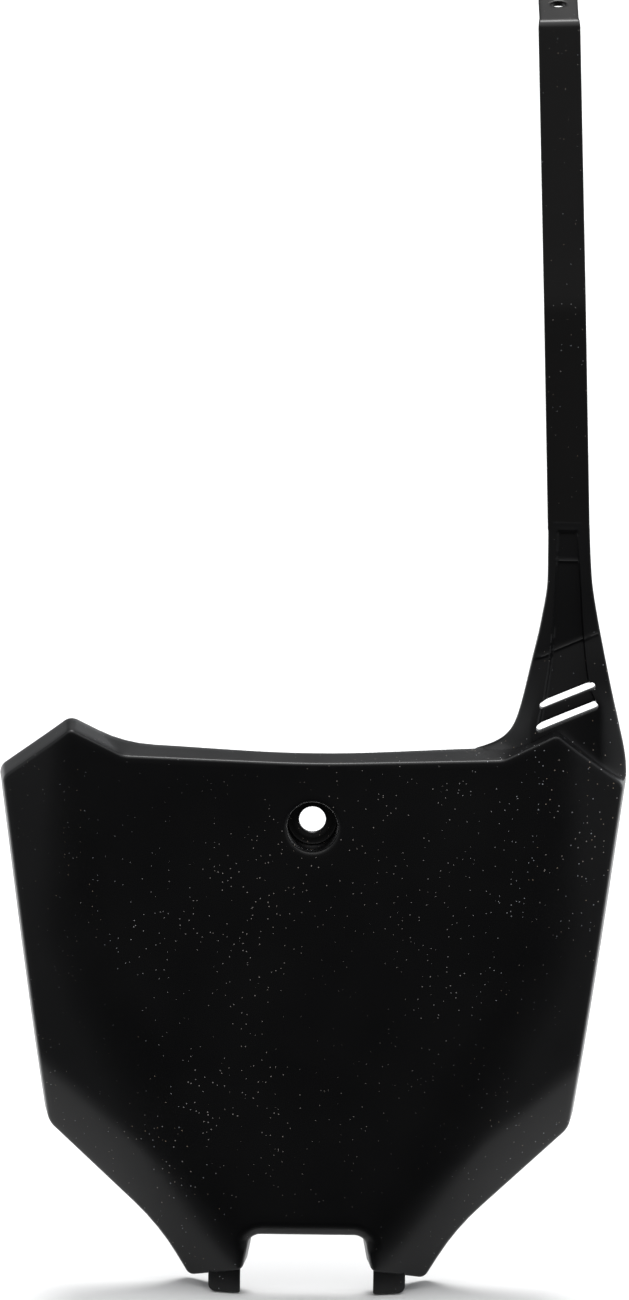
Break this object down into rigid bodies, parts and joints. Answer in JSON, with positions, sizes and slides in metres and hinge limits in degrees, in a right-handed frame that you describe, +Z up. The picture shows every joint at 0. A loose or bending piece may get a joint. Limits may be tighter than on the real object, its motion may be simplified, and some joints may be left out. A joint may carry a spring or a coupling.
{
  "type": "off-road bike front number plate",
  "caption": "Black moulded front number plate with a recessed bolt cup, foot prongs and a long flexible handlebar strap with a bent tip.",
  "frame": {"origin": "centre of the bolt hole, halfway through the floor of its cup", "axes": "-Y is the way the face looks and the bolt comes out, +Z is up along the strap, +X is to the viewer's right"},
  "size_m": [0.244, 0.0743, 0.4986],
  "materials": {
    "moulded_polypropylene": "satin black, injection moulded",
    "strap_polypropylene": "satin black, injection moulded, thin and flexible"
  },
  "bodies": {
    "plate": {"face_shell": "moulded_polypropylene", "bolt_cup": "moulded_polypropylene", "left_prong": "moulded_polypropylene", "right_prong": "moulded_polypropylene", "strap_root": "moulded_polypropylene"},
    "strap_link_1": {"strap_link_1": "strap_polypropylene"},
    "strap_link_2": {"strap_link_2": "strap_polypropylene"},
    "strap_link_3": {"strap_link_3": "strap_polypropylene"},
    "strap_link_4": {"strap_link_4": "strap_polypropylene"},
    "strap_link_5": {"strap_link_5": "strap_polypropylene"},
    "strap_link_6": {"strap_link_6": "strap_polypropylene"},
    "strap_link_7": {"strap_link_7": "strap_polypropylene"},
    "strap_tip": {"strap_tip": "strap_polypropylene"}
  },
  "joints": [
    {"name": "strap_bend_1", "type": "hinge", "parent": "plate", "child": "strap_link_1", "pos_m": [0.096, 0.00454, 0.12], "axis": [-0.9995, 0, -0.0332], "range_deg": [-10, 16], "stiffness_Nm_per_rad": 0.8},
    {"name": "strap_bend_2", "type": "hinge", "parent": "strap_link_1", "child": "strap_link_2", "pos_m": [0.09512, 0.0064, 0.14662], "axis": [-0.9995, 0, -0.0332], "range_deg": [-10, 50], "stiffness_Nm_per_rad": 0.8},
    {"name": "strap_bend_3", "type": "hinge", "parent": "strap_link_2", "child": "strap_link_3", "pos_m": [0.09423, 0.00827, 0.17324], "axis": [-0.9995, 0, -0.0332], "range_deg": [-10, 50], "stiffness_Nm_per_rad": 0.8},
    {"name": "strap_bend_4", "type": "hinge", "parent": "strap_link_3", "child": "strap_link_4", "pos_m": [0.09335, 0.01013, 0.19986], "axis": [-0.9995, 0, -0.0332], "range_deg": [-10, 40], "stiffness_Nm_per_rad": 0.8},
    {"name": "strap_bend_5", "type": "hinge", "parent": "strap_link_4", "child": "strap_link_5", "pos_m": [0.09249, 0.01659, 0.22575], "axis": [-0.9995, 0, -0.0332], "range_deg": [-10, 25], "stiffness_Nm_per_rad": 0.8},
    {"name": "strap_bend_6", "type": "hinge", "parent": "strap_link_5", "child": "strap_link_6", "pos_m": [0.09163, 0.02305, 0.25165], "axis": [-0.9995, 0, -0.0332], "range_deg": [-10, 5], "stiffness_Nm_per_rad": 0.8},
    {"name": "strap_bend_7", "type": "hinge", "parent": "strap_link_6", "child": "strap_link_7", "pos_m": [0.09077, 0.02951, 0.27754], "axis": [-0.9995, 0, -0.0332], "range_deg": [-10, 10], "stiffness_Nm_per_rad": 0.8},
    {"name": "tip_fold", "type": "hinge", "parent": "strap_link_7", "child": "strap_tip", "pos_m": [0.08991, 0.03597, 0.30343], "axis": [-0.9995, 0, -0.0332], "range_deg": [-30, 20], "stiffness_Nm_per_rad": 0.4}
  ]
}
